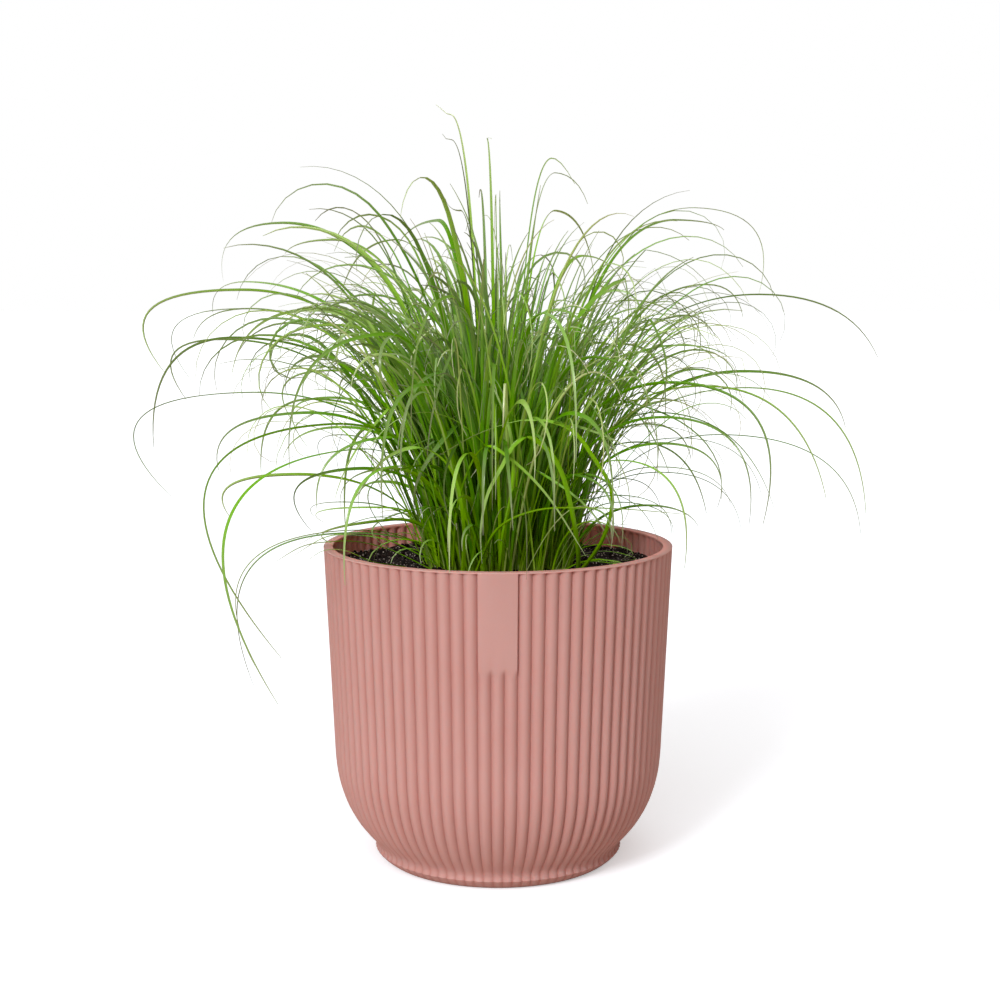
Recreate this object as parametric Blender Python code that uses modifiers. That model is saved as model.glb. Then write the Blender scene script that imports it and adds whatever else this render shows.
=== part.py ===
"""Potted umbrella sedge: a clump of narrow arching leaves in a ribbed plastic pot filled with soil.

Metres, +Z up. The origin is the centre of the pot's flat underside, and the front is towards -Y.
Headings are compass angles in plan, in degrees: 0 is towards +X, 90 is away from the front.
"""

import math

import bmesh
import bpy
import numpy as np
from mathutils import Matrix, kdtree

MM = 0.001
WELD = 1e-6

# The pot. Radii are those of the rib crests.
POT_HEIGHT = 128.0
RIM_RADIUS = 70.0
WALL_END_RADIUS = 66.3
WALL_END_HEIGHT = 46.0
BEND_HANDLES = ((65.8, 29.8), (60.8, 18.8))
NECK_TOP = (52.7, 10.3)
NECK_HANDLES = ((50.3, 7.7), (49.2, 6.2))
FOOT_TOP = (50.3, 4.1)
FOOT_CORNER = (48.4, 1.6)
FOOT_EDGE_RADIUS = 45.8
FOOT_FADE = 6.0
LIP_HEIGHT = 0.8
WALL_THICKNESS = 3.8
FLOOR_THICKNESS = 3.0
FLOOR_ROUND = 1.5
NECK_STEP = 2.0
RIBS = 84
RIB_DEPTH = 1.1
RIB_FADE = 1.0
POT_STEPS = 2 * RIBS
LINER_STEPS = 34

# The plain upright panel at the front of the ribbed wall
PANEL_RIBS = 3
PANEL_END_HEIGHT = 92.0
PANEL_END_SLOPE = 4.0
FRONT_HEADING = -90.0

# The soil
SOIL_TOP = 119.0
SOIL_STEPS = 20
CLUMP_RADIUS = 39.0
SOIL_LUMP = 1.1
GAP = 0.3
ROOT_GAP = 1.0
LEAN = 0.22

# The leaves. The half widths are of a leaf's solid at its sheath, its middle and its tip.
SHEATH_HALF_WIDTH = 1.9
LEAF_HALF_WIDTH = 1.35
TIP_HALF_WIDTH = 0.25
SHEATH_SHARE = 0.16
TAPER_START = 0.35
LEAF_SECTION = ((-1.0, 0.3), (0.0, -0.5), (1.0, 0.3))
LEAF_POINTS = 8
SIDE_LEAF_POINTS = 5
LEAF_CLEARANCE = 0.6
EASE_ROUNDS = 90
EASE_STRENGTH = 2.0
SAMPLES_PER_STRETCH = 8
SEED = 43

# One row for each shoot's main leaf, in millimetres from the pot's axis: its heading in degrees, how far
# out it stands in the soil, the reach and height of the top of its arch, the reach that its droop aims for,
# and the reach and height of its tip.
MAIN_LEAVES = (
    (52, 25, 84, 205, 130, 122, 166),
    (59, 19, 70, 243, 116, 120, 205),
    (67, 14, 62, 262, 100, 112, 232),
    (75, 27, 80, 176, 126, 118, 128),
    (83, 20, 92, 222, 146, 138, 172),
    (91, 12, 48, 268, 80, 92, 246),
    (99, 25, 96, 186, 140, 132, 140),
    (106, 17, 58, 262, 76, 84, 268),
    (113, 22, 66, 258, 128, 140, 222),
    (121, 13, 86, 250, 128, 142, 224),
    (128, 22, 82, 170, 118, 112, 118),
    (134, 17, 104, 250, 132, 138, 244),
    (140, 22, 100, 220, 150, 158, 190),
    (146, 11, 112, 257, 152, 146, 232),
    (152, 17, 122, 232, 146, 138, 212),
    (158, 22, 112, 221, 136, 140, 208),
    (163, 13, 110, 229, 178, 147, 194),
    (169, 22, 114, 209, 150, 131, 184),
    (175, 17, 102, 222, 150, 122, 190),
    (180, 22, 80, 156, 120, 108, 139),
    (185, 10, 104, 211, 138, 136, 168),
    (191, 19, 62, 134, 122, 98, 72),
    (196, 14, 100, 191, 168, 129, 151),
    (202, 23, 64, 137, 126, 101, 86),
    (208, 18, 84, 184, 122, 117, 164),
    (214, 12, 76, 180, 168, 98, 93),
    (221, 22, 70, 171, 166, 107, 79),
    (229, 17, 64, 214, 116, 112, 168),
    (237, 22, 72, 166, 104, 100, 126),
    (245, 12, 66, 196, 102, 96, 150),
    (253, 18, 58, 228, 104, 102, 180),
    (261, 23, 72, 172, 110, 106, 134),
    (269, 14, 66, 204, 108, 106, 156),
    (277, 25, 64, 158, 90, 84, 128),
    (285, 9, 64, 222, 108, 104, 172),
    (293, 20, 72, 186, 108, 102, 146),
    (301, 15, 70, 206, 112, 108, 164),
    (309, 26, 76, 168, 112, 106, 132),
    (317, 20, 88, 184, 128, 122, 147),
    (324, 14, 82, 196, 132, 119, 146),
    (331, 24, 74, 172, 98, 96, 152),
    (336, 29, 66, 147, 80, 84, 140),
    (342, 20, 76, 173, 104, 107, 147),
    (348, 25, 64, 182, 98, 110, 145),
    (354, 15, 82, 192, 120, 130, 148),
    (0, 29, 88, 172, 142, 146, 132),
    (6, 21, 100, 190, 148, 152, 138),
    (12, 26, 102, 196, 142, 148, 172),
    (19, 12, 114, 227, 158, 172, 200),
    (27, 25, 98, 231, 114, 117, 217),
    (35, 19, 92, 258, 114, 119, 254),
    (43, 14, 118, 264, 178, 163, 226),
    (160, 6, 20, 298, 22, 26, 302),
    (330, 6, 24, 280, 28, 34, 270),
    (40, 7, 30, 276, 42, 48, 264),
    (215, 7, 22, 287, 26, 26, 289),
    (100, 6, 26, 290, 18, 14, 289),
)

# The side leaves, against their shoot's main leaf: how far they turn from it in degrees, their share of its
# reach and rise, their least height over the rim, the share of its first stretch where they leave it, and
# their share of its width.
SIDE_LEAF_TURN = (9.0, 20.0)
SIDE_LEAF_REACH = (0.5, 0.72)
SIDE_LEAF_RISE = (0.5, 0.75)
SIDE_LEAF_RIM_ROOM = 14.0
SIDE_LEAF_START = 0.5
SIDE_LEAF_WIDTH = 0.62


def clear_scene():
    for thing in list(bpy.data.objects):
        bpy.data.objects.remove(thing, do_unlink=True)


def collection(name, hidden=False):
    group = bpy.data.collections.new(name)
    bpy.context.scene.collection.children.link(group)
    group.hide_render = hidden
    return group


def to_linear(channel):
    """One sRGB channel from 0 to 1 as linear light."""
    return channel / 12.92 if channel <= 0.04045 else ((channel + 0.055) / 1.055) ** 2.4


def material(name, hex_colour, roughness):
    made = bpy.data.materials.new(name)
    made.use_nodes = True
    shader = made.node_tree.nodes["Principled BSDF"]
    channels = [int(hex_colour[i : i + 2], 16) / 255 for i in (1, 3, 5)]
    shader.inputs["Base Color"].default_value = (*map(to_linear, channels), 1.0)
    shader.inputs["Roughness"].default_value = roughness
    shader.inputs["Metallic"].default_value = 0.0
    return made


def bezier(points, share):
    """The Bezier curve through the first and last of any number of points, at each share of its run."""
    degree = len(points) - 1
    share = np.atleast_1d(share)[:, None]
    return sum(
        math.comb(degree, k) * share**k * (1 - share) ** (degree - k) * np.array(points[k], float)
        for k in range(degree + 1)
    )


def wall_radius(height):
    """The straight wall's crest radius, which narrows evenly from the rim to the start of the lower bend."""
    share = (POT_HEIGHT - height) / (POT_HEIGHT - WALL_END_HEIGHT)
    return RIM_RADIUS + share * (WALL_END_RADIUS - RIM_RADIUS)


def lower_outline(bend_points, neck_points):
    """The lower bend, the neck and the foot, from the end of the straight wall down, as (radius, height)."""
    wall_end = (WALL_END_RADIUS, WALL_END_HEIGHT)
    bend = bezier([wall_end, *BEND_HANDLES, NECK_TOP], np.linspace(0, 1, bend_points))
    neck = bezier([NECK_TOP, *NECK_HANDLES, FOOT_TOP], np.linspace(0, 1, neck_points))
    return [*map(tuple, bend), *map(tuple, neck[1:]), FOOT_CORNER, (FOOT_EDGE_RADIUS, 0.0)]


def inner_outline(inset):
    """The cavity's wall and floor edge, a wall's thickness and the inset inside the outer outline."""
    shrink = WALL_THICKNESS + inset
    floor = FLOOR_THICKNESS + inset
    inner = [(radius - shrink, height + inset) for radius, height in lower_outline(4, 2)[:3]]
    neck = (NECK_TOP[0] - shrink, NECK_TOP[1] + inset + NECK_STEP)
    corner = FOOT_TOP[0] - shrink
    return [*inner, neck, (corner, floor + FLOOR_ROUND), (corner - FLOOR_ROUND, floor)]


def turned(name, outline, steps, group):
    """A turned mesh: the outline's (radius, height) points, from top to bottom, screwed about the Z axis."""
    mesh = bpy.data.meshes.new(name)
    points = [(radius * MM, 0.0, height * MM) for radius, height in outline]
    mesh.from_pydata(points, [(i, i + 1) for i in range(len(points) - 1)], [])
    profile = bpy.data.objects.new(name, mesh)
    group.objects.link(profile)
    screw = profile.modifiers.new("turn", "SCREW")
    screw.steps = screw.render_steps = steps
    screw.use_merge_vertices = True
    screw.merge_threshold = WELD
    solid = as_mesh(profile, group)
    close_ends(solid.data)
    return solid


def as_mesh(source, group):
    """The object as Blender evaluates it, as a plain mesh object that takes its name and place."""
    name = source.name
    place = source.matrix_world.copy()
    graph = bpy.context.evaluated_depsgraph_get()
    mesh = bpy.data.meshes.new_from_object(source.evaluated_get(graph))
    bpy.data.objects.remove(source, do_unlink=True)
    solid = bpy.data.objects.new(name, mesh)
    mesh.name = name
    solid.matrix_world = place
    group.objects.link(solid)
    return solid


def close_ends(mesh):
    """Welds a mesh's loose caps or ends, and fills each ring that is still open with one flat face."""
    work = bmesh.new()
    work.from_mesh(mesh)
    bmesh.ops.remove_doubles(work, verts=work.verts, dist=WELD)
    open_edges = [edge for edge in work.edges if edge.is_boundary]
    bmesh.ops.holes_fill(work, edges=open_edges, sides=0)
    bmesh.ops.recalc_face_normals(work, faces=work.faces)
    work.to_mesh(mesh)
    work.free()


def apply_boolean(target, other, operation, group):
    """The target with the other solid cut from it or joined to it, as a plain mesh. The other one goes."""
    boolean = target.modifiers.new(operation.lower(), "BOOLEAN")
    boolean.operation = operation
    boolean.solver = "EXACT"
    boolean.object = other
    made = as_mesh(target, group)
    bpy.data.objects.remove(other, do_unlink=True)
    return made


def smooth_step(low, high, value):
    share = np.clip((value - low) / (high - low), 0.0, 1.0)
    return share * share * (3 - 2 * share)


def press_ribs(mesh):
    """Draws the grooves between the ribs inwards. They end at the lip, at the foot and at the front panel."""
    places = np.empty(len(mesh.vertices) * 3)
    mesh.vertices.foreach_get("co", places)
    places = places.reshape(-1, 3)
    x, y, height = places.T / MM
    heading = np.degrees(np.arctan2(y, x))
    from_front = (heading - FRONT_HEADING + 180.0) % 360.0 - 180.0
    pitch = 360.0 / RIBS
    in_groove = 0.5 - 0.5 * np.cos(2 * np.pi * from_front / pitch + np.pi * (PANEL_RIBS + 1))
    panel = np.abs(from_front) < (PANEL_RIBS / 2 - 0.25) * pitch
    panel_strength = panel * smooth_step(PANEL_END_HEIGHT - PANEL_END_SLOPE, PANEL_END_HEIGHT, height)
    below_lip = 1 - smooth_step(POT_HEIGHT - LIP_HEIGHT - RIB_FADE, POT_HEIGHT - LIP_HEIGHT, height)
    above_floor = smooth_step(0, FOOT_FADE, height)
    radius = np.hypot(x, y)
    depth = RIB_DEPTH * radius / RIM_RADIUS * in_groove * below_lip * above_floor * (1 - panel_strength)
    places[:, :2] *= (1 - depth / radius)[:, None]
    mesh.vertices.foreach_set("co", places.ravel())
    mesh.update()


def shade_round(solid, angle=35.0):
    solid.data.shade_smooth()
    solid.data.set_sharp_from_angle(angle=math.radians(angle))


def make_pot(group, guides, plastic):
    lip_end = POT_HEIGHT - LIP_HEIGHT
    outline = [
        (RIM_RADIUS - LIP_HEIGHT, POT_HEIGHT),
        (wall_radius(lip_end), lip_end),
        (wall_radius(lip_end - RIB_FADE), lip_end - RIB_FADE),
        (wall_radius(PANEL_END_HEIGHT), PANEL_END_HEIGHT),
        (wall_radius(PANEL_END_HEIGHT - PANEL_END_SLOPE), PANEL_END_HEIGHT - PANEL_END_SLOPE),
        *lower_outline(4, 3),
    ]
    pot = turned("pot", outline, POT_STEPS, group)
    press_ribs(pot.data)
    inner_top = RIM_RADIUS - WALL_THICKNESS
    mouth = [(inner_top, POT_HEIGHT + LIP_HEIGHT), (inner_top, POT_HEIGHT - LIP_HEIGHT)]
    cavity = [*mouth, *inner_outline(0.0)]
    liner = turned("cavity_cutter", cavity, LINER_STEPS, guides)
    liner.hide_render = True
    liner.display_type = "WIRE"
    pot = apply_boolean(pot, liner, "DIFFERENCE", group)
    pot.data.materials.clear()
    pot.data.materials.append(plastic)
    shade_round(pot)
    return pot


def make_soil(group, earth):
    """The block of soil. Its top is level under the clump and lumpy between the clump and the wall."""
    edge = wall_radius(SOIL_TOP) - WALL_THICKNESS - 2 * GAP
    outline = [
        (0.0, SOIL_TOP),
        (CLUMP_RADIUS, SOIL_TOP),
        ((CLUMP_RADIUS + edge) / 2, SOIL_TOP),
        (edge, SOIL_TOP),
        *inner_outline(GAP),
        (0.0, FLOOR_THICKNESS + GAP),
    ]
    soil = turned("soil", outline, SOIL_STEPS, group)
    for vertex in soil.data.vertices:
        radius = math.hypot(vertex.co.x, vertex.co.y) / MM
        if radius > CLUMP_RADIUS + 1 and vertex.co.z > (SOIL_TOP - 1) * MM:
            heading = math.atan2(vertex.co.y, vertex.co.x)
            lump = math.sin(5 * heading + radius) + 0.6 * math.sin(9 * heading + 2 * radius)
            vertex.co.z += SOIL_LUMP * lump * MM
    soil.data.materials.append(earth)
    shade_round(soil)
    return soil


def main_route(row, points):
    """A main leaf's centre line: it curves up to the top of its arch, and from there droops to its tip."""
    heading, root, arch_reach, arch_height, droop_reach, tip_reach, tip_height = row
    arch_top = (arch_reach, arch_height)
    rise = [(root, SOIL_TOP + ROOT_GAP), (root + LEAN * (arch_reach - root), arch_height), arch_top]
    droop = [arch_top, (droop_reach, arch_height), (tip_reach, tip_height)]
    rise_length = math.hypot(arch_reach - root, arch_height - SOIL_TOP)
    droop_length = math.hypot(droop_reach - arch_reach, arch_height - tip_height)
    share = np.linspace(0, 1, points)
    turn = rise_length / (rise_length + droop_length)
    rising = bezier(rise, np.clip(share / turn, 0, 1))
    drooping = bezier(droop, np.clip((share - turn) / (1 - turn), 0, 1))
    reach, height = np.where(share[:, None] <= turn, rising, drooping).T
    angle = math.radians(heading)
    return np.stack([reach * math.cos(angle), reach * math.sin(angle), height], axis=1)


def side_start(route):
    """Where a side leaf leaves the main leaf's sheath."""
    return route[0] + SIDE_LEAF_START * (route[1] - route[0])


def side_route(row, points, chance):
    """A shorter leaf of the same shoot, turned a little to one side of the main one."""
    heading, root, arch_reach, arch_height, droop_reach, tip_reach, tip_height = row
    turn = chance.choice((-1, 1)) * chance.uniform(*SIDE_LEAF_TURN)
    out = chance.uniform(*SIDE_LEAF_REACH)
    up = chance.uniform(*SIDE_LEAF_RISE)
    reach = [root + out * (value - root) for value in (arch_reach, droop_reach, tip_reach)]
    arch_height = max(SOIL_TOP + up * (arch_height - SOIL_TOP), POT_HEIGHT + SIDE_LEAF_RIM_ROOM)
    tip_height = max(SOIL_TOP + up * (tip_height - SOIL_TOP), POT_HEIGHT + SIDE_LEAF_RIM_ROOM / 2)
    route = main_route((heading + turn, root, reach[0], arch_height, reach[1], reach[2], tip_height), points)
    start = side_start(main_route(row, LEAF_POINTS))
    share = np.linspace(0, 1, points)[:, None]
    return route + (start - route[0]) * (1 - share) ** 2


def half_widths(points):
    """A leaf's half width along its run: a stout sheath, an even blade, and a long fine tip."""
    share = np.linspace(0, 1, points)
    sheath = 1 - smooth_step(0, SHEATH_SHARE, share)
    blade = LEAF_HALF_WIDTH + (SHEATH_HALF_WIDTH - LEAF_HALF_WIDTH) * sheath
    taper = np.clip((share - TAPER_START) / (1 - TAPER_START), 0, 1) ** 1.5
    slim = SIDE_LEAF_WIDTH if points == SIDE_LEAF_POINTS else 1.0
    return slim * (blade + (TIP_HALF_WIDTH - blade) * taper)


def along(points):
    """Weights that read a route at even places between its points."""
    place = np.linspace(0, points - 1, (points - 1) * SAMPLES_PER_STRETCH + 1)
    low = np.minimum(place.astype(int), points - 2)
    weights = np.zeros((len(place), points))
    weights[np.arange(len(place)), low] = 1 - (place - low)
    weights[np.arange(len(place)), low + 1] = place - low
    return weights


def ease_apart(routes, shoots):
    """Leaves slide past each other: where two shoots come closer than they are thick, both move aside."""
    weights = [along(len(route)) for route in routes]
    owner = np.concatenate([np.full(len(w), k) for k, w in enumerate(weights)])
    shoot = np.array(shoots)[owner]
    half = np.concatenate([w @ half_widths(w.shape[1]) for w in weights])
    for _ in range(EASE_ROUNDS):
        places = np.concatenate([w @ route for w, route in zip(weights, routes)])
        tree = kdtree.KDTree(len(places))
        for index, place in enumerate(places):
            tree.insert(place, index)
        tree.balance()
        push = np.zeros_like(places)
        close = 0
        for index, place in enumerate(places):
            for _, other, distance in tree.find_range(place, 2 * SHEATH_HALF_WIDTH + LEAF_CLEARANCE):
                wanted = half[index] + half[other] + LEAF_CLEARANCE
                if shoot[other] == shoot[index] or distance >= wanted:
                    continue
                away = place - places[other]
                push[index] += away / max(distance, GAP) * (wanted - distance) / 2
                close += 1
        if not close:
            break
        first = 0
        for k, w in enumerate(weights):
            part = push[first : first + len(w)]
            first += len(w)
            routes[k][1:] += (w.T @ part)[1:] / w.sum(axis=0)[1:, None] * EASE_STRENGTH
    print("leaf stretches still close after easing:", close)
    return routes


def leaf_section(guides):
    """The leaf's cross-section: a flat upper side, and a keel underneath."""
    outline = bpy.data.curves.new("leaf_section", "CURVE")
    outline.dimensions = "2D"
    spline = outline.splines.new("POLY")
    spline.points.add(len(LEAF_SECTION) - 1)
    for point, (across, up) in zip(spline.points, LEAF_SECTION):
        point.co = (across * MM, up * MM, 0.0, 1.0)
    spline.use_cyclic_u = True
    section = bpy.data.objects.new("leaf_section", outline)
    guides.objects.link(section)
    section.hide_render = True
    section.display_type = "WIRE"
    return section


def leaf(name, route, heading, section, group):
    """One leaf: the cross-section carried along its route, laid out in a plane that is then turned."""
    angle = math.radians(heading)
    back = np.array(Matrix.Rotation(-angle, 3, "Z"))
    line = bpy.data.curves.new(name, "CURVE")
    line.dimensions = "3D"
    line.bevel_mode = "OBJECT"
    line.bevel_object = section
    line.use_fill_caps = True
    line.twist_mode = "MINIMUM"
    spline = line.splines.new("POLY")
    spline.points.add(len(route) - 1)
    for point, place, half in zip(spline.points, route @ back.T, half_widths(len(route))):
        point.co = (*(place * MM), 1.0)
        point.radius = half
    blade = bpy.data.objects.new(name, line)
    blade.rotation_euler.z = angle
    group.objects.link(blade)
    bpy.context.view_layer.update()
    solid = as_mesh(blade, group)
    close_ends(solid.data)
    return solid


def make_shoots(group, guides, green):
    chance = np.random.default_rng(SEED)
    section = leaf_section(guides)
    routes = []
    shoots = []
    for number, row in enumerate(MAIN_LEAVES):
        routes.append(main_route(row, LEAF_POINTS))
        routes.append(side_route(row, SIDE_LEAF_POINTS, chance))
        shoots += [number, number]
    routes = ease_apart(routes, shoots)
    for main_leaf, side_leaf in zip(routes[::2], routes[1::2]):
        side_leaf[0] = side_start(main_leaf)
    for number, row in enumerate(MAIN_LEAVES):
        name = f"shoot_{number + 1:02d}"
        shoot = leaf(name, routes[2 * number], row[0], section, group)
        side = leaf(name + "_side", routes[2 * number + 1], row[0], section, group)
        shoot = apply_boolean(shoot, side, "UNION", group)
        shoot.name = name
        shoot.data.materials.clear()
        shoot.data.materials.append(green)
        shade_round(shoot)


def main():
    clear_scene()
    group = collection("potted umbrella sedge")
    guides = collection("cutters and guides", hidden=True)
    plastic = material("moulded pink plastic", "#C78C80", 0.6)
    earth = material("potting soil", "#2E241E", 0.95)
    green = material("sedge leaf", "#4C8A28", 0.45)
    make_pot(group, guides, plastic)
    make_soil(group, earth)
    make_shoots(group, guides, green)


main()
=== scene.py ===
# %% [markdown]
# # Potted umbrella sedge
#
# A sedge is a clump of narrow leaves that rise from the soil and arch over under their own weight. It stands
# in a pink plastic pot with a ribbed wall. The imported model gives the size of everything, in metres, with +Z
# up and the front towards -Y. This script puts a finely shaped piece in the place of each plain solid.

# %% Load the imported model
import math

import bpy
import numpy as np
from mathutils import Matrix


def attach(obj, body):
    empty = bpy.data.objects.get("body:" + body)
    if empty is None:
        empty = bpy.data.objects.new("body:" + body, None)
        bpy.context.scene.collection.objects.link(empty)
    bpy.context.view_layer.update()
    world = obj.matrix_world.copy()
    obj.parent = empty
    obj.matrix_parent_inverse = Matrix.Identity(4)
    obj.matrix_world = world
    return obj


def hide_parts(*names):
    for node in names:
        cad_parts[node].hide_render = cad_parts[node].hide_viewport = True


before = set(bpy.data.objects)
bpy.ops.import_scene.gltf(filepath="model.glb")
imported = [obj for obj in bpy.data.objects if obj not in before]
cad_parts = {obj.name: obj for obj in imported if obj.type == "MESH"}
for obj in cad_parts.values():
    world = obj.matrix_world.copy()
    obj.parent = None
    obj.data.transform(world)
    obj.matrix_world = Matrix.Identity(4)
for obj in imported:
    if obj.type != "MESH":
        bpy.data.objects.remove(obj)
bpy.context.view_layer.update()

# %% [markdown]
# ## Small tools
#
# Sizes below are written in millimetres, as a maker would, and become metres when a mesh is made. A mesh
# could be drawn vertex by vertex, but a whole surface worked out with numpy at once is quicker and easier to
# change: each piece is a grid of points, and neighbouring points of the grid become four-sided faces.

# %% Points to meshes
MM = 0.001


def grid_faces(rows, columns, closed=True):
    """Faces of a grid that is stored row by row: corner (i, j) joins (i, j+1), (i+1, j+1) and (i+1, j)."""
    i, j = np.meshgrid(np.arange(rows - 1), np.arange(columns if closed else columns - 1), indexing="ij")
    after = (j + 1) % columns
    corners = [i * columns + j, i * columns + after, (i + 1) * columns + after, (i + 1) * columns + j]
    return np.stack(corners, axis=-1).reshape(-1, 4)


def fan_faces(ring, centre):
    """Triangles from each edge of a ring of vertex numbers to one centre vertex."""
    return np.stack([ring, np.roll(ring, -1), np.full(len(ring), centre)], axis=-1)


def new_piece(name, points, faces, values, uv=None, sharp_angle=38.0):
    """A mesh object from points in millimetres, faces, and named values (one for each point)."""
    mesh = bpy.data.meshes.new(name)
    mesh.from_pydata((points * MM).tolist(), [], faces)
    for label, numbers in values.items():
        mesh.attributes.new(label, "FLOAT", "POINT").data.foreach_set("value", numbers.astype(np.float32))
    corner_points = np.empty(len(mesh.loops), np.int32)
    mesh.loops.foreach_get("vertex_index", corner_points)
    if uv is not None:
        layer = mesh.uv_layers.new(name="surface")
        layer.data.foreach_set("uv", uv[corner_points].astype(np.float32).ravel())
    mesh.shade_smooth()
    mesh.set_sharp_from_angle(angle=math.radians(sharp_angle))
    mesh.validate()
    piece = bpy.data.objects.new(name, mesh)
    bpy.context.scene.collection.objects.link(piece)
    return piece


def smooth_step(low, high, value):
    """0 below low, 1 above high, and between them 3 s**2 - 2 s**3 of the share s: an even S-shaped rise."""
    share = np.clip((value - low) / (high - low), 0.0, 1.0)
    return share * share * (3 - 2 * share)


def bezier(points, share):
    """The curve pulled towards its inner points: each point weighs in by its Bernstein polynomial."""
    degree = len(points) - 1
    share = np.asarray(share)[:, None]
    weights = [math.comb(degree, k) * share**k * (1 - share) ** (degree - k) for k in range(degree + 1)]
    return sum(weight * np.array(point, float) for weight, point in zip(weights, points))


print("a closed grid of 3 by 4 points has", len(grid_faces(3, 4)), "faces")

# %% [markdown]
# ## Colours and nodes
#
# Colours are written as they look on a screen. Light adds up evenly only in linear numbers, so one function
# turns a hex colour into those. Another adds a shader node with its settings and links in one line, which
# keeps each finish short enough to read as a recipe.

# %% Colour and node helpers
def linear(hex_colour):
    """sRGB hex to linear light: a straight part near black, and a power of 2.4 above it."""
    channels = [int(hex_colour[i : i + 2], 16) / 255 for i in (1, 3, 5)]
    return (*[c / 12.92 if c <= 0.04045 else ((c + 0.055) / 1.055) ** 2.4 for c in channels], 1.0)


def add_node(tree, kind, inputs=None, stops=None, **settings):
    """Adds a node. An input is a number, a colour or another node's output; stops fill a colour ramp."""
    made = tree.nodes.new("ShaderNode" + kind)
    for name, value in settings.items():
        setattr(made, name, value)
    for name, value in (inputs or {}).items():
        if isinstance(value, bpy.types.NodeSocket):
            tree.links.new(value, made.inputs[name])
        else:
            made.inputs[name].default_value = value
    for number, (place, colour) in enumerate(stops or []):
        elements = made.color_ramp.elements
        element = elements[number] if number < 2 else elements.new(place)
        element.position = place
        element.color = linear(colour)
    return made


def new_material(name):
    """An empty material: its node tree, and its Principled shader."""
    made = bpy.data.materials.new(name)
    made.use_nodes = True
    return made, made.node_tree, made.node_tree.nodes["Principled BSDF"]


print("middle grey on a screen is", round(linear("#808080")[0], 3), "in linear light")

# %% [markdown]
# ## Camera
#
# The camera's place was worked out from the pot: its rim and its foot are circles of known size, and how wide
# and how flat each looks gives the distance, the height and the lens.

# %% Camera
CAMERA_PLACE = (0.0008, -0.7144, 0.2404)
CAMERA_DOWN = 7.56
CAMERA_LENS = 64.59
SENSOR_WIDTH = 36.0

camera_data = bpy.data.cameras.new("camera")
camera_data.lens = CAMERA_LENS
camera_data.sensor_width = SENSOR_WIDTH
camera = bpy.data.objects.new("camera", camera_data)
camera.location = CAMERA_PLACE
camera.rotation_euler = (math.radians(90 - CAMERA_DOWN), 0, 0)
bpy.context.scene.collection.objects.link(camera)
bpy.context.scene.camera = camera
print("camera looks", CAMERA_DOWN, "degrees down")

# %% [markdown]
# ## Studio
#
# The plant stands on white paper that runs on into the background. A key lamp from the upper left gives the
# pot its shaded right side, a large soft one overhead keeps the floor bright, a weak one comes from behind,
# and a dim warm light from all around fills the shadows. Area lamps would leave the far floor dark, and sun
# lamps with a wide angle give the same soft light everywhere on it. To the camera the paper glows a little,
# so that it is as white as the background. To every other ray it is darker and warmer, so that it doesn't
# light the pot too strongly from below.

# %% Floor and light
FLOOR_SIZE = 8.0
LAMPS = {
    "key light": {"strength": 1.85, "softness": 16.0, "turn": (59.0, 0.0, -29.0)},
    "top light": {"strength": 1.3, "softness": 50.0, "turn": (34.0, 0.0, -2.0)},
    "back light": {"strength": 0.45, "softness": 60.0, "turn": (-50.0, 0.0, 30.0)},
}
SKY_STRENGTH = 0.24
SKY_COLOUR = "#FFDCCC"
WHITE = "#FFFFFF"
PAPER = "#E8F2FA"
PAPER_BOUNCE = "#D0BCB2"
PAPER_GLOW = 0.45

floor_mesh = bpy.data.meshes.new("floor")
floor_corners = FLOOR_SIZE * np.array([(-1, -1, 0), (1, -1, 0), (1, 1, 0), (-1, 1, 0)])
floor_mesh.from_pydata(floor_corners.tolist(), [], [(0, 1, 2, 3)])
floor = bpy.data.objects.new("floor", floor_mesh)
bpy.context.scene.collection.objects.link(floor)

paper, tree, shader = new_material("matt white backdrop paper")
seen = add_node(tree, "LightPath").outputs["Is Camera Ray"]
tone = add_node(tree, "Mix", {0: seen, 6: linear(PAPER_BOUNCE), 7: linear(PAPER)}, data_type="RGBA")
tree.links.new(tone.outputs[2], shader.inputs["Base Color"])
shader.inputs["Roughness"].default_value = 0.9
shader.inputs["Emission Color"].default_value = linear(WHITE)
glow = add_node(tree, "Math", {0: seen, 1: PAPER_GLOW}, operation="MULTIPLY")
tree.links.new(glow.outputs[0], shader.inputs["Emission Strength"])
floor_mesh.materials.append(paper)

for lamp_name, lamp in LAMPS.items():
    sun_data = bpy.data.lights.new(lamp_name, "SUN")
    sun_data.energy = lamp["strength"]
    sun_data.angle = math.radians(lamp["softness"])
    sun = bpy.data.objects.new(lamp_name, sun_data)
    sun.rotation_euler = [math.radians(turn) for turn in lamp["turn"]]
    bpy.context.scene.collection.objects.link(sun)

world = bpy.data.worlds.new("studio")
world.use_nodes = True
bpy.context.scene.world = world
sky = world.node_tree.nodes["Background"]
ray = add_node(world.node_tree, "LightPath")
bright = add_node(
    world.node_tree,
    "MapRange",
    {"Value": ray.outputs["Is Camera Ray"], "To Min": SKY_STRENGTH, "To Max": 1.0},
)
air = add_node(
    world.node_tree,
    "Mix",
    {0: ray.outputs["Is Camera Ray"], 6: linear(SKY_COLOUR), 7: linear(WHITE)},
    data_type="RGBA",
)
world.node_tree.links.new(air.outputs[2], sky.inputs["Color"])
world.node_tree.links.new(bright.outputs["Result"], sky.inputs["Strength"])
bpy.context.scene.view_settings.view_transform = "Standard"
print("lamps:", len(LAMPS), "sky:", SKY_STRENGTH)

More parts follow.
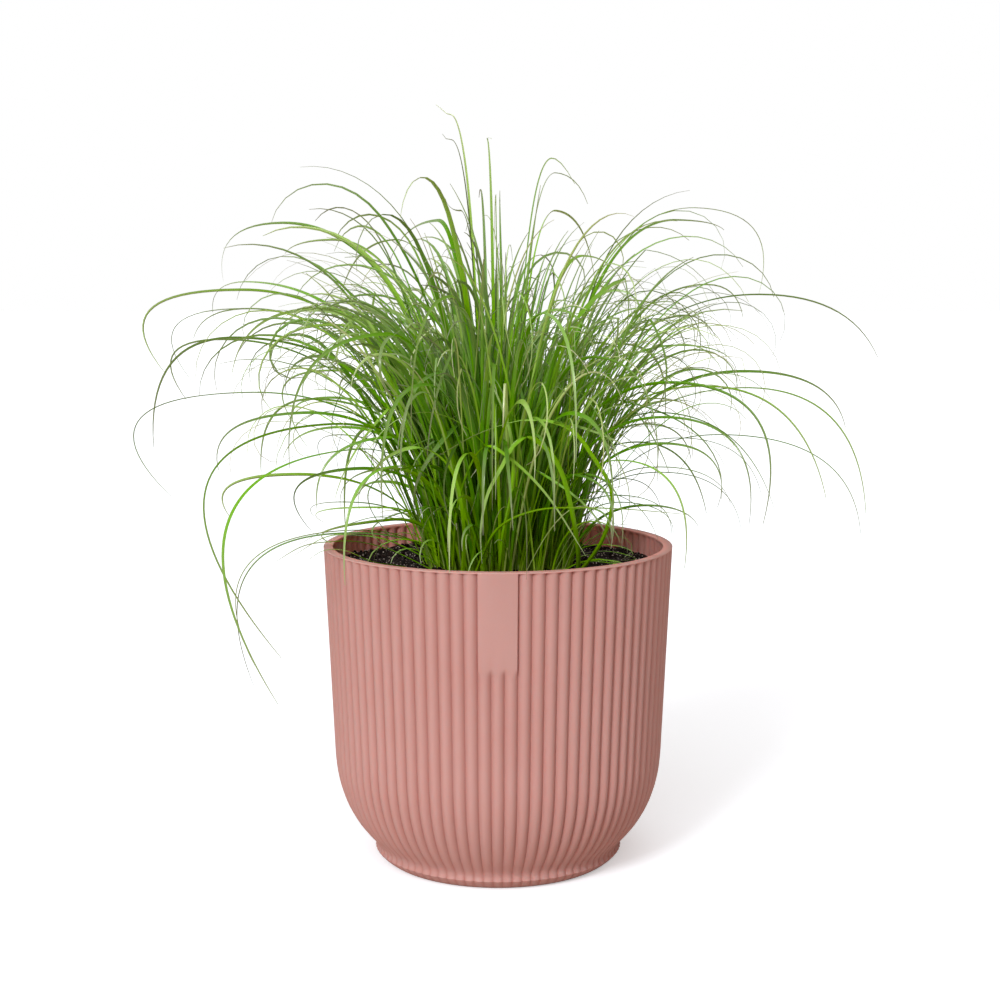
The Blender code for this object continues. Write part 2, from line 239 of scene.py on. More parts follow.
# %% [markdown]
# ## The pot's shape
#
# The real pot is injection moulded in one go: a slightly tapered wall with 84 upright ribs, a rounded lower
# bend, a short neck and a low foot. It could be a plain turned shape with a ribbed bump map, but its outline
# at the foot is scalloped, so the ribs are real here. The surface has two parameters: the way round, and the
# way along an outline that runs from the underside's centre up the outside and down the inside. Each rib is
# a rounded ridge, and its groove is narrow, so the columns crowd together near the grooves. The ribs end just
# under the lip, and grow shallower down the bend. At the front a plain panel three ribs wide stays smooth,
# and the inside has shallow flutes.

# %% The pot's measures
POT_HEIGHT = 128.0
RIM_RADIUS = 70.0
WALL_END = (66.3, 46.0)
BEND_HANDLES = ((65.8, 29.8), (60.8, 18.8))
NECK_TOP = (52.7, 10.3)
NECK_HANDLES = ((50.3, 7.7), (49.2, 6.2))
FOOT_TOP = (50.3, 4.1)
FOOT_HANDLES = ((49.0, 2.2), (46.4, 0.3))
FOOT_BOTTOM = (45.2, 0.0)
FOOT_FADE = 3.0
LIP_HEIGHT = 0.4
LIP_FADE = 0.5
LIP_ROUND = 0.4
WALL_THICKNESS = 3.8
INNER_FLOOR = (46.0, 3.0)
FLOOR_RING_RADIUS = 30.0
RIBS = 84
RIB_DEPTH = 1.4
RIB_POWER = 2.0
# The ribs have their full depth above the second of these heights, and this share of it below the first.
FOOT_RIBS = (3.0, 26.0)
FOOT_RIB_SHARE = 0.45
FLUTE_DEPTH = 0.9
FLUTE_TOP = POT_HEIGHT - 0.8
FLUTE_FADE = 0.8
FLUTE_LEAST_RADIUS = 50.0
FLUTE_SHADE = 0.6
PANEL_RIBS = 3
PANEL_EDGE = 0.08
PANEL_END = (88.0, 92.0)
FRONT_HEADING = -90.0
RIB_COLUMNS = np.array([-0.5, -0.46, -0.4, -0.3, -0.16, 0.0, 0.16, 0.3, 0.4, 0.46])
print("ribs:", RIBS, "one every", round(2 * math.pi * RIM_RADIUS / RIBS, 1), "mm at the rim")

# %% The pot's outline, as (radius of the rib crests, height)
def wall_radius(height):
    """The wall narrows evenly from the rim down to the start of the lower bend."""
    share = (POT_HEIGHT - height) / (POT_HEIGHT - WALL_END[1])
    return RIM_RADIUS + share * (WALL_END[0] - RIM_RADIUS)


def rounded_corner(centre, radius, start, end, points):
    """Points on a quarter turn about a centre, between two angles in degrees."""
    angle = np.radians(np.linspace(start, end, points))
    return np.stack([centre[0] + radius * np.cos(angle), centre[1] + radius * np.sin(angle)], axis=1)


# The rows crowd together where the panel ends, at about 90 mm, and where the ribs end under the lip.
wall_heights = np.array([52, 60, 70, 80, 87.9, 89, 90, 91, 92.1, 102, 114, 124, 126.8, 127.1, 127.35, 127.55])
neck = bezier([FOOT_TOP, *reversed(NECK_HANDLES), NECK_TOP], np.linspace(0, 1, 7))
bend = bezier([NECK_TOP, *reversed(BEND_HANDLES), WALL_END], np.linspace(0, 1, 15))
wall = np.stack([wall_radius(wall_heights), wall_heights], axis=1)
outer_round = rounded_corner((RIM_RADIUS - LIP_ROUND, POT_HEIGHT - LIP_ROUND), LIP_ROUND, 10, 90, 5)
inner_top = RIM_RADIUS - WALL_THICKNESS
inner_round = rounded_corner((inner_top + LIP_ROUND, POT_HEIGHT - LIP_ROUND), LIP_ROUND, 90, 180, 4)
inner_heights = np.array([127.2, 127.0, 126.8, 126.6, 126.4, 124, 121, 116, 80, WALL_END[1]])
inner_wall = np.stack([wall_radius(inner_heights) - WALL_THICKNESS, inner_heights], axis=1)
inner_bend = bend[::-4][1:-1] - (WALL_THICKNESS, 0.0)
foot_round = bezier([FOOT_BOTTOM, *reversed(FOOT_HANDLES), FOOT_TOP], np.linspace(0, 1, 7))
foot = np.vstack([[(FLOOR_RING_RADIUS, 0.0)], foot_round[:-1]])
floor_inside = [INNER_FLOOR, (FLOOR_RING_RADIUS, INNER_FLOOR[1])]
outer_side = np.vstack([foot, neck, bend[1:], wall])
inner_side = np.vstack([inner_round, inner_wall, inner_bend, floor_inside])
outline = np.vstack([outer_side, outer_round, inner_side])
outer_rows = len(outer_side)
print("outline points:", len(outline), "of them outside:", outer_rows)

# %% The pot's surface
pitch = 360.0 / RIBS
rib_place = np.tile(RIB_COLUMNS, RIBS)
from_front = (np.repeat(np.arange(RIBS), len(RIB_COLUMNS)) + rib_place) * pitch
from_front = (from_front + 180.0) % 360.0 - 180.0
# How deep in its groove each column is: 0 on the crest of its rib, and 1 where two ribs meet.
in_groove = np.abs(2 * rib_place) ** RIB_POWER
in_panel = np.abs(from_front) < (PANEL_RIBS / 2 - PANEL_EDGE) * pitch

crest, height = outline.T
row_number = np.arange(len(outline))
outside = (row_number >= 1) & (row_number < outer_rows)
below_lip = 1 - smooth_step(POT_HEIGHT - LIP_HEIGHT - LIP_FADE, POT_HEIGHT - LIP_HEIGHT, height)
above_floor = smooth_step(0, FOOT_FADE, height)
full_depth = FOOT_RIB_SHARE + (1 - FOOT_RIB_SHARE) * smooth_step(*FOOT_RIBS, height)
outer_depth = RIB_DEPTH * full_depth * crest / RIM_RADIUS * below_lip * above_floor * outside
panel_strength = smooth_step(*PANEL_END, height)
inside = (row_number > outer_rows) & (height < POT_HEIGHT - LIP_ROUND)
flute_fade = 1 - smooth_step(FLUTE_TOP - FLUTE_FADE, FLUTE_TOP, height)
inner_depth = FLUTE_DEPTH * inside * flute_fade * (crest > FLUTE_LEAST_RADIUS)

# Depth of each point: the row's depth times the column's place in its groove, with the panel left smooth.
groove = in_groove[None, :] * (1 - panel_strength[:, None] * in_panel[None, :])
radius = crest[:, None] - outer_depth[:, None] * groove + inner_depth[:, None] * in_groove[None, :]
turn = np.radians(from_front + FRONT_HEADING)
ring_heights = np.broadcast_to(height[:, None], radius.shape)
pot_points = np.stack([radius * np.cos(turn), radius * np.sin(turn), ring_heights], axis=-1).reshape(-1, 3)
# Painted shade: the same groove depths are kept as a value that darkens the colour in the grooves, and
# FLUTE_SHADE of it in the inner flutes.
painted_flute_shade = FLUTE_SHADE * in_groove[None, :] * inside[:, None]
groove_shade_value = np.where(outside[:, None], groove, painted_flute_shade).ravel()

columns = len(turn)
pot_faces = grid_faces(len(outline), columns).tolist()
bottom_centre = len(pot_points)
pot_points = np.vstack([pot_points, [(0, 0, 0), (0, 0, INNER_FLOOR[1])]])
last_ring = np.arange(columns) + (len(outline) - 1) * columns
pot_faces += fan_faces(np.arange(columns)[::-1], bottom_centre).tolist()
pot_faces += fan_faces(last_ring, bottom_centre + 1).tolist()
# Painted light: the inner wall's rows are marked, so that their colour can be made lighter.
painted_light_rows = np.repeat((row_number >= outer_rows + len(outer_round)).astype(float), columns)
pot_values = {"groove": np.append(groove_shade_value, [0, 0]), "inside": np.append(painted_light_rows, [0, 1])}
pot = new_piece("ribbed_pot", pot_points, pot_faces, pot_values)
print("pot faces:", len(pot_faces))

# %% [markdown]
# ## The pot's finish: moulded polypropylene
#
# Recycled polypropylene is dyed right through and comes out of its mould matt, because the mould is spark
# eroded to a fine grain. To the eye it is a soft dusty pink with no sharp reflections, and very slightly
# uneven where the melt flowed. The grooves are painted a little deeper and redder, as painted shade for the
# way light bounces from rib to rib there. The grain is about 0.1 mm on the real pot. That is far finer than
# a pixel, so it is drawn 0.5 mm across here. The inner wall is the same plastic, but its colour is painted
# lighter, as painted light, because on the real pot more light finds its way there between the leaves than
# these lamps send.

# %% Moulded polypropylene
PIGMENT = "#C99F9A"
# Painted shade: the colour of the grooves is mixed towards this darker, redder pink.
GROOVE_SHADE_PIGMENT = "#A85A4C"
# Painted light: the inner wall's colour, lighter than the outside's, stands in for light that the lamps don't
# send there.
INNER_WALL_PAINTED_LIGHT = "#F2A8A0"
# How much of that painted shade the deepest groove gets; the melt flow's unevenness is added to it.
GROOVE_SHADE_SHARE = 0.4
FLOW_SHARE = 0.12
GRAIN_PER_METRE = 1 / (0.5 * MM)
FLOW_PER_METRE = 1 / (45 * MM)

plastic, tree, shader = new_material("moulded polypropylene")
place = add_node(tree, "TexCoord").outputs["Object"]
flow = add_node(tree, "TexNoise", {"Vector": place, "Scale": FLOW_PER_METRE, "Detail": 2.0})
grain = add_node(tree, "TexNoise", {"Vector": place, "Scale": GRAIN_PER_METRE, "Detail": 1.0})
# Painted shade: how deep in its groove each point is.
painted_groove_shade = add_node(tree, "Attribute", attribute_name="groove")
flow_share = add_node(
    tree, "MapRange", {"Value": flow.outputs["Fac"], "To Min": -FLOW_SHARE, "To Max": FLOW_SHARE}
)
groove_shade_and_flow = add_node(
    tree,
    "Math",
    {0: painted_groove_shade.outputs["Fac"], 1: GROOVE_SHADE_SHARE, 2: flow_share.outputs["Result"]},
    operation="MULTIPLY_ADD",
)
# Painted light on the inner wall, read from the marked rows.
painted_light_mask = add_node(tree, "Attribute", attribute_name="inside")
wall_with_painted_inner_light = add_node(
    tree,
    "Mix",
    {0: painted_light_mask.outputs["Fac"], 6: linear(PIGMENT), 7: linear(INNER_WALL_PAINTED_LIGHT)},
    data_type="RGBA",
)
colour = add_node(
    tree,
    "Mix",
    {0: groove_shade_and_flow.outputs[0], 6: wall_with_painted_inner_light.outputs[2], 7: linear(GROOVE_SHADE_PIGMENT)},
    data_type="RGBA",
)
bump = add_node(tree, "Bump", {"Height": grain.outputs["Fac"], "Strength": 0.12, "Distance": 0.1 * MM})
tree.links.new(colour.outputs[2], shader.inputs["Base Color"])
tree.links.new(bump.outputs["Normal"], shader.inputs["Normal"])
shader.inputs["Roughness"].default_value = 0.5
shader.inputs["IOR"].default_value = 1.49
shader.inputs["Specular IOR Level"].default_value = 0.25
shader.inputs["Subsurface Weight"].default_value = 0.35
shader.inputs["Subsurface Radius"].default_value = (1.0, 0.4, 0.3)
shader.inputs["Subsurface Scale"].default_value = 2.5 * MM
pot.data.materials.append(plastic)
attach(pot, "root")
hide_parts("pot")
print("pot finished")

# %% [markdown]
# ## The soil
#
# Potting soil is dark, damp peat in crumbs, with pale grains and bits of fibre. A flat disc with a noise
# pattern would look painted, so the top is a lumpy surface, and loose crumbs lie on it. Every crumb is the
# same twenty-sided lump, stretched and bent out of shape at random, and all are one mesh with the bed.

# %% The soil's measures
SOIL_TOP = 119.0
SOIL_ROWS = 66
SOIL_COLUMNS = 220
SOIL_SEED = 5
CRUMBS = 1900
CRUMB_SIZE = (0.3, 1.15)
CRUMB_SHRINK = (0.6, 1.0)
CRUMB_STRETCH = (0.5, 1.2)
CRUMB_UNEVEN = (0.75, 1.2)
CRUMB_RISE = 0.3
CRUMB_SPREAD = (0.02, 1)
CRUMB_EDGE = 0.975
PALE_CRUMBS = 520
PALE_SIZE = 0.36
PALE_RISE = 0.25
PALE_SHADE = (0.4, 1.0)
WAVES = ((30.0, 0.7), (13.0, 0.5), (6.0, 0.32), (3.2, 0.24), (1.9, 0.16))
WAVES_OF_EACH = 5
WAVE_SHARE = 0.45
RING_POWER = 0.8
SKIRT_ROOM = 1.5
print("the soil's top is", POT_HEIGHT - SOIL_TOP, "mm under the rim")

# %% Lumpy soil bed
def soil_height(x, y):
    """Lumps: sine waves of falling length and height that cross in random directions, added up."""
    chance = np.random.default_rng(SOIL_SEED)
    total = np.zeros_like(x)
    for length, rise in WAVES:
        for _ in range(WAVES_OF_EACH):
            angle, phase = chance.uniform(0, 2 * np.pi, 2)
            along_wave = (x * np.cos(angle) + y * np.sin(angle)) / length
            total += rise * WAVE_SHARE * np.sin(2 * np.pi * along_wave + phase)
    return SOIL_TOP + total


edge_radius = wall_radius(SOIL_TOP) - WALL_THICKNESS + FLUTE_DEPTH
ring_share = np.linspace(0, 1, SOIL_ROWS)[1:]
ring_radius = edge_radius * ring_share**RING_POWER
soil_turn = np.linspace(0, 2 * np.pi, SOIL_COLUMNS, endpoint=False)
soil_x = ring_radius[:, None] * np.cos(soil_turn)
soil_y = ring_radius[:, None] * np.sin(soil_turn)
soil_z = soil_height(soil_x, soil_y)
# Below its top, the soil's side follows the inside of the pot with a little room.
skirt_radius = np.array([edge_radius - SKIRT_ROOM, 61.5, 44.0])
skirt_height = np.array([100.0, 46.0, 4.0])
skirt_x = skirt_radius[:, None] * np.cos(soil_turn)
skirt_y = skirt_radius[:, None] * np.sin(soil_turn)
skirt_z = np.broadcast_to(skirt_height[:, None], skirt_x.shape)
bed = np.stack([np.vstack([soil_x, skirt_x]), np.vstack([soil_y, skirt_y]), np.vstack([soil_z, skirt_z])], -1)
bed_rows = len(bed)
bed_points = np.vstack([bed.reshape(-1, 3), [(0, 0, SOIL_TOP), (0, 0, skirt_height[-1])]])
top_centre = bed_rows * SOIL_COLUMNS
bed_faces = grid_faces(bed_rows, SOIL_COLUMNS)[:, ::-1].tolist()
bed_faces += fan_faces(np.arange(SOIL_COLUMNS), top_centre).tolist()
bottom_ring = np.arange(SOIL_COLUMNS) + (bed_rows - 1) * SOIL_COLUMNS
bed_faces += fan_faces(bottom_ring[::-1], top_centre + 1).tolist()
print("soil bed faces:", len(bed_faces))

# %% Crumbs
GOLDEN = (1 + math.sqrt(5)) / 2
LUMP_POINTS = np.array(
    [(-1, GOLDEN, 0), (1, GOLDEN, 0), (-1, -GOLDEN, 0), (1, -GOLDEN, 0)]
    + [(0, -1, GOLDEN), (0, 1, GOLDEN), (0, -1, -GOLDEN), (0, 1, -GOLDEN)]
    + [(GOLDEN, 0, -1), (GOLDEN, 0, 1), (-GOLDEN, 0, -1), (-GOLDEN, 0, 1)]
) / math.hypot(1, GOLDEN)
LUMP_FACES = np.array(
    [(0, 11, 5), (0, 5, 1), (0, 1, 7), (0, 7, 10), (0, 10, 11), (1, 5, 9), (5, 11, 4), (11, 10, 2)]
    + [(10, 7, 6), (7, 1, 8), (3, 9, 4), (3, 4, 2), (3, 2, 6), (3, 6, 8), (3, 8, 9), (4, 9, 5)]
    + [(2, 4, 11), (6, 2, 10), (8, 6, 7), (9, 8, 1)]
)
chance = np.random.default_rng(SOIL_SEED + 1)
crumb_radius = edge_radius * CRUMB_EDGE * np.sqrt(chance.uniform(*CRUMB_SPREAD, CRUMBS))
crumb_turn = chance.uniform(0, 2 * np.pi, CRUMBS)
crumb_x = crumb_radius * np.cos(crumb_turn)
crumb_y = crumb_radius * np.sin(crumb_turn)
crumb_size = chance.uniform(*CRUMB_SIZE, CRUMBS) * chance.uniform(*CRUMB_SHRINK, CRUMBS)
crumb_size[:PALE_CRUMBS] *= PALE_SIZE
stretch = crumb_size[:, None, None] * chance.uniform(*CRUMB_STRETCH, (CRUMBS, 1, 3))
uneven = chance.uniform(*CRUMB_UNEVEN, (CRUMBS, len(LUMP_POINTS), 1))
is_pale_crumb = np.arange(CRUMBS) < PALE_CRUMBS
crumb_rise = crumb_size * CRUMB_RISE + PALE_RISE * is_pale_crumb
crumb_places = np.stack([crumb_x, crumb_y, soil_height(crumb_x, crumb_y) + crumb_rise], axis=-1)
crumbs = LUMP_POINTS * stretch * uneven + crumb_places[:, None, :]
first_points = len(bed_points) + np.arange(CRUMBS) * len(LUMP_POINTS)
crumb_faces = (LUMP_FACES[None] + first_points[:, None, None]).reshape(-1, 3).tolist()
shade = np.where(is_pale_crumb, chance.uniform(*PALE_SHADE, CRUMBS), 0.0)
pale = np.repeat(shade, len(LUMP_POINTS))
soil = new_piece(
    "soil_bed",
    np.vstack([bed_points, crumbs.reshape(-1, 3)]),
    bed_faces + crumb_faces,
    {"pale": np.concatenate([np.zeros(len(bed_points)), pale])},
    sharp_angle=60.0,
)
print("crumbs:", CRUMBS, "of them pale:", PALE_CRUMBS)

# %% [markdown]
# ## The soil's finish: peat potting soil
#
# Damp peat is nearly black with a brown cast. It scatters light, so it is rough all over, but wet facets
# glint, which a cell pattern gives by lowering the roughness in the middle of each cell. A share of the same
# cells has a pale speck of fibre or mineral in its middle, about half a millimetre across.

# %% Peat potting soil
SPECKLED_SHARE = 0.6

peat, tree, shader = new_material("peat potting soil")
place = add_node(tree, "TexCoord").outputs["Object"]
fibre = add_node(
    tree, "TexNoise", {"Vector": place, "Scale": 1 / (1.1 * MM), "Detail": 5.0, "Roughness": 0.7}
)
spots = add_node(tree, "TexVoronoi", {"Vector": place, "Scale": 1 / (1.2 * MM)})
dark = add_node(
    tree,
    "ValToRGB",
    {"Fac": fibre.outputs["Fac"]},
    stops=[(0.36, "#050202"), (0.52, "#120806"), (0.7, "#341A12"), (0.82, "#7A5644")],
)
is_pale = add_node(tree, "Attribute", attribute_name="pale")
cell_middle = add_node(
    tree,
    "MapRange",
    {"Value": spots.outputs["Distance"], "From Min": 0.18, "From Max": 0.3, "To Min": 1.0, "To Max": 0.0},
)
chosen = add_node(tree, "Math", {0: spots.outputs["Color"], 1: SPECKLED_SHARE}, operation="LESS_THAN")
speck = add_node(tree, "Math", {0: cell_middle.outputs["Result"], 1: chosen.outputs[0]}, operation="MULTIPLY")
light_share = add_node(tree, "Math", {0: speck.outputs[0], 1: is_pale.outputs["Fac"]}, operation="MAXIMUM")
colour = add_node(
    tree,
    "Mix",
    {0: light_share.outputs[0], 6: dark.outputs["Color"], 7: linear("#CFC2B8")},
    data_type="RGBA",
)
wet = add_node(
    tree, "MapRange", {"Value": spots.outputs["Distance"], "From Max": 0.5, "To Min": 0.18, "To Max": 0.8}
)
bump = add_node(tree, "Bump", {"Height": fibre.outputs["Fac"], "Strength": 0.8, "Distance": 0.5 * MM})
tree.links.new(colour.outputs[2], shader.inputs["Base Color"])
tree.links.new(wet.outputs["Result"], shader.inputs["Roughness"])
tree.links.new(bump.outputs["Normal"], shader.inputs["Normal"])
shader.inputs["Specular IOR Level"].default_value = 0.15
soil.data.materials.append(peat)
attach(soil, "root")
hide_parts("soil")
print("soil finished")

# %% [markdown]
# ## The leaves' routes
#
# Each shoot is a fan of leaves from one sheath. Its main leaf rises to the top of an arch and droops from
# there to its tip, so a row of seven numbers describes it: a compass heading, then reach and height in
# millimetres. The rows were read off the real plant, and the rest of the shoot grows from its row: one side
# leaf, and 13 to 17 slimmer ones that fan out around it. Hair curves could draw grass too, but a leaf this
# near the camera is better as a folded ribbon with a thickness.

# %% One row for each shoot: heading, root reach, arch reach, arch height, droop reach, tip reach, tip height
MAIN_LEAVES = np.array([
    (52, 25, 84, 205, 130, 122, 166), (59, 19, 70, 243, 116, 120, 205), (67, 14, 62, 262, 100, 112, 232),
    (75, 27, 80, 176, 126, 118, 128), (83, 20, 92, 222, 146, 138, 172), (91, 12, 48, 268, 80, 92, 246),
    (99, 25, 96, 186, 140, 132, 140), (106, 17, 58, 262, 76, 84, 268), (113, 22, 66, 258, 128, 140, 222),
    (121, 13, 86, 250, 128, 142, 224), (128, 22, 82, 170, 118, 112, 118),
    (134, 17, 104, 250, 132, 138, 244), (140, 22, 100, 220, 150, 158, 190),
    (146, 11, 112, 257, 152, 146, 232), (152, 17, 122, 232, 146, 138, 212),
    (158, 22, 112, 221, 136, 140, 208), (163, 13, 110, 229, 178, 147, 194),
    (169, 22, 114, 209, 150, 131, 184), (175, 17, 102, 222, 150, 122, 190),
    (180, 22, 80, 156, 120, 108, 139), (185, 10, 104, 211, 138, 136, 168), (191, 19, 62, 134, 122, 98, 72),
    (196, 14, 100, 191, 168, 129, 151), (202, 23, 64, 137, 126, 101, 86), (208, 18, 84, 184, 122, 117, 164),
    (214, 12, 76, 180, 168, 98, 93), (221, 22, 70, 171, 166, 107, 79), (229, 17, 64, 214, 116, 112, 168),
    (237, 22, 72, 166, 104, 100, 126), (245, 12, 66, 196, 102, 96, 150), (253, 18, 58, 228, 104, 102, 180),
    (261, 23, 72, 172, 110, 106, 134), (269, 14, 66, 204, 108, 106, 156), (277, 25, 64, 158, 90, 84, 128),
    (285, 9, 64, 222, 108, 104, 172), (293, 20, 72, 186, 108, 102, 146), (301, 15, 70, 206, 112, 108, 164),
    (309, 26, 76, 168, 112, 106, 132), (317, 20, 88, 184, 128, 122, 147), (324, 14, 82, 196, 132, 119, 146),
    (331, 24, 74, 172, 98, 96, 152), (336, 29, 66, 147, 80, 84, 140), (342, 20, 76, 173, 104, 107, 147),
    (348, 25, 64, 182, 98, 110, 145), (354, 15, 82, 192, 120, 130, 148), (0, 29, 88, 172, 142, 146, 132),
    (6, 21, 100, 190, 148, 152, 138), (12, 26, 102, 196, 142, 148, 172), (19, 12, 114, 227, 158, 172, 200),
    (27, 25, 98, 231, 114, 117, 217), (35, 19, 92, 258, 114, 119, 254), (43, 14, 118, 264, 178, 163, 226),
    (160, 6, 20, 298, 22, 26, 302), (330, 6, 24, 280, 28, 34, 270), (40, 7, 30, 276, 42, 48, 264),
    (215, 7, 22, 287, 26, 26, 289), (100, 6, 26, 290, 18, 14, 289),
], float)
print("shoots:", len(MAIN_LEAVES))

# %% From a row to a line in space
ROOT_DEPTH = 1.5
LEAN = 0.22
RIM_ROOM = 2.2
RIM_RISE = (58, 65)
PAST_RIM = 72.5


def leaf_lines(rows, points):
    """Centre lines of the main and side leaves, as an array of leaf by point by (x, y, z).

    Up to the top of its arch a leaf is one quadratic Bezier curve, and from there to its tip another one,
    and both are level where they meet."""
    heading, root, arch_reach, arch_height, droop_reach, tip_reach, tip_height = rows.T[:, :, None]
    rise_length = np.hypot(arch_reach - root, arch_height - SOIL_TOP)
    droop_length = np.hypot(droop_reach - arch_reach, arch_height - tip_height)
    share = np.linspace(0, 1, points)[None, :]
    turn = rise_length / (rise_length + droop_length)
    a = np.clip(share / turn, 0, 1)
    b = np.clip((share - turn) / (1 - turn), 0, 1)
    rising = share <= turn
    knee = root + LEAN * (arch_reach - root)
    up_reach = root * (1 - a) ** 2 + 2 * a * (1 - a) * knee + a**2 * arch_reach
    up_height = (SOIL_TOP - ROOT_DEPTH) * (1 - a) ** 2 + (1 - (1 - a) ** 2) * arch_height
    down_reach = arch_reach * (1 - b) ** 2 + 2 * b * (1 - b) * droop_reach + b**2 * tip_reach
    down_height = (1 - b**2) * arch_height + b**2 * tip_height
    reach = np.where(rising, up_reach, down_reach)
    height = np.where(rising, up_height, down_height)
    angle = np.radians(heading)
    return np.stack([reach * np.cos(angle), reach * np.sin(angle), height], axis=-1)


def over_the_rim(lines):
    """Leaves lie on the rim and never cut it: near the wall, a point that is too low is lifted onto it."""
    reach = np.hypot(lines[..., 0], lines[..., 1])
    lift = POT_HEIGHT + RIM_ROOM - SOIL_TOP + ROOT_DEPTH
    lowest = SOIL_TOP - ROOT_DEPTH + lift * smooth_step(*RIM_RISE, reach)
    lowest = np.where(reach > PAST_RIM, 0.0, lowest)
    lines[..., 2] = np.maximum(lines[..., 2], lowest)
    return lines


first_line = leaf_lines(MAIN_LEAVES[:1], 50)[0]
first_steps = np.linalg.norm(np.diff(first_line, axis=0), axis=1)
print("the first shoot's main leaf is", round(float(first_steps.sum())), "mm long")

# %% [markdown]
# ## From a line to a leaf
#
# A sedge leaf is a long ribbon that is folded a little along its middle, stout at its sheath and drawn out
# to a hair at its tip. Here a flat rhomb is carried along the line: two edges, an upper fold and a keel. It
# stays square to the line, and turns about it by the leaf's own twist, which makes the light catch some
# leaves and not others. There are about a thousand leaves, so a slim one has only some 50 to 110 faces. Those
# of the outline stand out against the white paper and are smoother, with about 240.

# %% Folded ribbons along lines
FOLD_DEPTH = 0.34
LEAF_THICKNESS = 0.2
THICKNESS_SHARE = 0.5
SHEATH_SWELL = 0.15
SHEATH_SHARE = 0.12
TAPER_START = 0.5
TAPER_POWER = 2.2
TIP_HALF_WIDTH = 0.1
RING = 4


def leaf_half_widths(share):
    """Half width along a leaf, as a share of its middle's: swollen at the sheath, even, then a long taper.

    The taper is 1 less a power of how far the place is beyond the start of the taper."""
    sheath = 1 + SHEATH_SWELL * (1 - smooth_step(0, SHEATH_SHARE, share))
    taper = 1 - np.clip((share - TAPER_START) / (1 - TAPER_START), 0, 1) ** TAPER_POWER
    return sheath * taper


def ribbons(lines, headings, widths, roll, tint):
    """Points, faces and values of the leaves along the lines.

    The sideways direction is the level line across the heading, squared up to the leaf's own direction, and
    the roll (start, change) turns it about the leaf."""
    count, rows, _ = lines.shape
    steps = np.linalg.norm(np.diff(lines, axis=1), axis=2)
    share = np.concatenate([np.zeros((count, 1)), np.cumsum(steps, axis=1)], axis=1)
    share /= share[:, -1:]
    forward = np.gradient(lines, axis=1)
    forward /= np.linalg.norm(forward, axis=2, keepdims=True)
    angle = np.radians(headings)
    across = np.stack([-np.sin(angle), np.cos(angle), np.zeros(count)], axis=1)[:, None, :]
    across = across - (across * forward).sum(axis=2, keepdims=True) * forward
    across /= np.linalg.norm(across, axis=2, keepdims=True)
    upward = np.cross(forward, across)
    spin = roll[:, 0, None, None] + roll[:, 1, None, None] * share[..., None]
    side = across * np.cos(spin) + upward * np.sin(spin)
    face = upward * np.cos(spin) - across * np.sin(spin)
    half = (widths[:, None] * leaf_half_widths(share) + TIP_HALF_WIDTH)[..., None]
    thick = np.minimum(LEAF_THICKNESS, half * THICKNESS_SHARE)
    fold = half * FOLD_DEPTH
    corners = [side * half, -face * (fold - thick / 2), -side * half, -face * (fold + thick / 2)]
    points = np.stack([lines + corner for corner in corners], axis=2).reshape(-1, 3)
    ring = grid_faces(rows, RING)
    first = np.arange(count)[:, None, None] * rows * RING
    faces = (ring[None] + first).reshape(-1, 4)
    root_cap = np.array([[0, 1, 2, 3]])[:, ::-1] + first[:, 0]
    tip_cap = np.array([[0, 1, 2, 3]]) + first[:, 0] + (rows - 1) * RING
    faces = np.vstack([faces, root_cap, tip_cap])
    along = np.repeat(share.ravel(), RING)
    over = np.tile([0.0, 0.5, 1.0, 0.5], count * rows)
    return points, faces, along, over, np.repeat(tint, rows * RING)


def joined(parts):
    """Several sets of points, faces and values as one, with each face's numbers moved up to its points."""
    starts = np.cumsum([0] + [len(part[0]) for part in parts[:-1]])
    faces = np.vstack([part[1] + start for part, start in zip(parts, starts)])
    return [np.vstack([part[0] for part in parts]), faces] + [
        np.concatenate([part[k] for part in parts]) for k in (2, 3, 4)
    ]


print("a leaf's tip is", 2 * TIP_HALF_WIDTH, "mm wide")

# %% [markdown]
# ## The leaves that make the outline, and those that fill it
#
# The main and the side leaf of a shoot stand where its solid stands, so that they reach the same tips. The
# slimmer leaves between them are drawn at random around the row, always from the same seed, so that every
# run grows the same plant.

# %% Side leaves, with the same turns as the solids
SIDE_SEED = 43
SIDE_TURN = (9.0, 20.0)
SIDE_REACH = (0.5, 0.72)
SIDE_RISE = (0.5, 0.75)
SIDE_RIM_ROOM = 14.0


def side_rows(rows):
    """Rows of the shorter side leaves: turned a little, with a share of the main leaf's reach and rise."""
    chance = np.random.default_rng(SIDE_SEED)
    made = []
    for heading, root, arch_reach, arch_height, droop_reach, tip_reach, tip_height in rows:
        turn = chance.choice((-1, 1)) * chance.uniform(*SIDE_TURN)
        out = chance.uniform(*SIDE_REACH)
        up = chance.uniform(*SIDE_RISE)
        reach = [root + out * (value - root) for value in (arch_reach, droop_reach, tip_reach)]
        arch = max(SOIL_TOP + up * (arch_height - SOIL_TOP), POT_HEIGHT + SIDE_RIM_ROOM)
        tip = max(SOIL_TOP + up * (tip_height - SOIL_TOP), POT_HEIGHT + SIDE_RIM_ROOM / 2)
        made.append((heading + turn, root, reach[0], arch, reach[1], reach[2], tip))
    return np.array(made)


SIDE_LEAVES = side_rows(MAIN_LEAVES)
print("side leaves:", len(SIDE_LEAVES))

